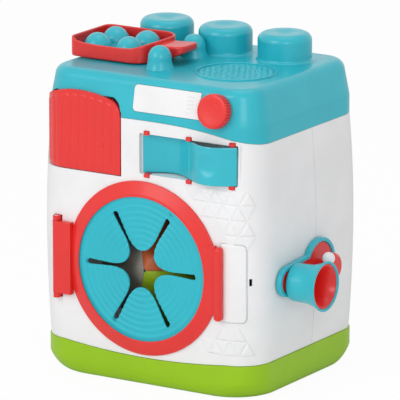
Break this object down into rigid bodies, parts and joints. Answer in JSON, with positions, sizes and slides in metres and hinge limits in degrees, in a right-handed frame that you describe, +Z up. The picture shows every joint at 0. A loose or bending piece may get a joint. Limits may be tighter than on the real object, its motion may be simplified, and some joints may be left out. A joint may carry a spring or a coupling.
{
  "type": "toy washing machine",
  "caption": "Toddler's toy washing machine with a star-slotted swing door, side crank that turns a coloured drum, hopper flap, knob, wave panel and tip-up bubble tray.",
  "frame": {"origin": "middle of the flat underside of the base tray", "axes": "+X to the right seen from the front, the front with the door faces -Y, +Z up"},
  "size_m": [0.2489, 0.1832, 0.2789],
  "materials": {
    "teal_plastic": "semi-gloss moulded plastic",
    "red_plastic": "semi-gloss moulded plastic",
    "white_plastic": "semi-gloss moulded plastic",
    "lime_plastic": "semi-gloss moulded plastic",
    "orange_plastic": "satin moulded plastic",
    "grey_plastic": "satin moulded plastic",
    "natural_plastic": "matte moulded plastic",
    "teal_rubber": "soft silicone",
    "steel": "plain steel wire and screw"
  },
  "bodies": {
    "housing": {"base_tray": "lime_plastic", "front_shell": "white_plastic", "rear_shell": "white_plastic", "top_shell": "teal_plastic", "base_screw_front_left": "steel", "base_screw_front_right": "steel", "base_screw_rear_left": "steel", "base_screw_rear_right": "steel", "hopper": "white_plastic", "flap_pin": "steel", "window_tray": "white_plastic", "wave_pin": "steel", "window_clip_left_low": "red_plastic", "window_clip_left_high": "red_plastic", "window_clip_middle_low": "red_plastic", "window_clip_middle_high": "red_plastic", "window_clip_right_low": "red_plastic", "window_clip_right_high": "red_plastic", "label_plate": "white_plastic", "catch_plate": "white_plastic", "hinge_bracket": "red_plastic", "door_hinge_pin": "steel", "drum_bush": "natural_plastic", "crank_bush": "natural_plastic", "tray_pin": "steel"},
    "door": {"door_frame": "red_plastic", "star_membrane": "teal_rubber", "membrane_retainer": "red_plastic", "latch_grip": "red_plastic"},
    "flap": {"flap": "red_plastic"},
    "wave": {"wave_panel": "teal_plastic"},
    "knob": {"knob": "red_plastic", "knob_washer": "natural_plastic"},
    "drum": {"drum": "white_plastic", "sector_orange": "orange_plastic", "sector_grey": "grey_plastic", "sector_lime": "lime_plastic", "drum_axle": "steel", "crown_gear": "natural_plastic"},
    "crank": {"crank_lever": "teal_plastic", "crank_face": "red_plastic", "crank_cap": "red_plastic", "crank_bead": "white_plastic", "crank_shaft": "steel", "pinion": "natural_plastic", "horn_pin": "steel"},
    "horn": {"horn": "teal_plastic", "horn_liner": "red_plastic"},
    "tray": {"tray_frame": "red_plastic", "bubble_panel": "teal_rubber"}
  },
  "joints": [
    {"name": "door_hinge", "type": "hinge", "parent": "housing", "child": "door", "pos_m": [-0.0832, -0.0883, 0.0995], "axis": [0, 0, -1], "range_deg": [0, 110]},
    {"name": "flap_hinge", "type": "hinge", "parent": "housing", "child": "flap", "pos_m": [-0.09613, -0.07415, 0.2021], "axis": [0, 0, -1], "range_deg": [0, 95]},
    {"name": "wave_rock", "type": "hinge", "parent": "housing", "child": "wave", "pos_m": [0.04335, -0.0846, 0.1948], "axis": [0, 0, 1], "range_deg": [-5, 5]},
    {"name": "knob_turn", "type": "hinge", "parent": "housing", "child": "knob", "pos_m": [0.0682, -0.08376, 0.2376], "axis": [0, -0.9813, 0.1924], "continuous": true},
    {"name": "drum_spin", "type": "hinge", "parent": "housing", "child": "drum", "pos_m": [0, -0.031, 0.0973], "axis": [0, 1, 0], "continuous": true},
    {"name": "crank_turn", "type": "hinge", "parent": "housing", "child": "crank", "pos_m": [0.1078, 0.006, 0.0973], "axis": [1, 0, 0], "continuous": true},
    {"name": "horn_spin", "type": "hinge", "parent": "crank", "child": "horn", "pos_m": [0.1124, -0.0354, 0.0927], "axis": [1, 0, 0], "continuous": true},
    {"name": "tray_hinge", "type": "hinge", "parent": "housing", "child": "tray", "pos_m": [-0.0115, -0.0175, 0.2653], "axis": [0, 1, 0], "range_deg": [0, 33]}
  ],
  "couplings": [
    {"joint": "crank_turn", "follows": "drum_spin", "ratio": 3}
  ]
}
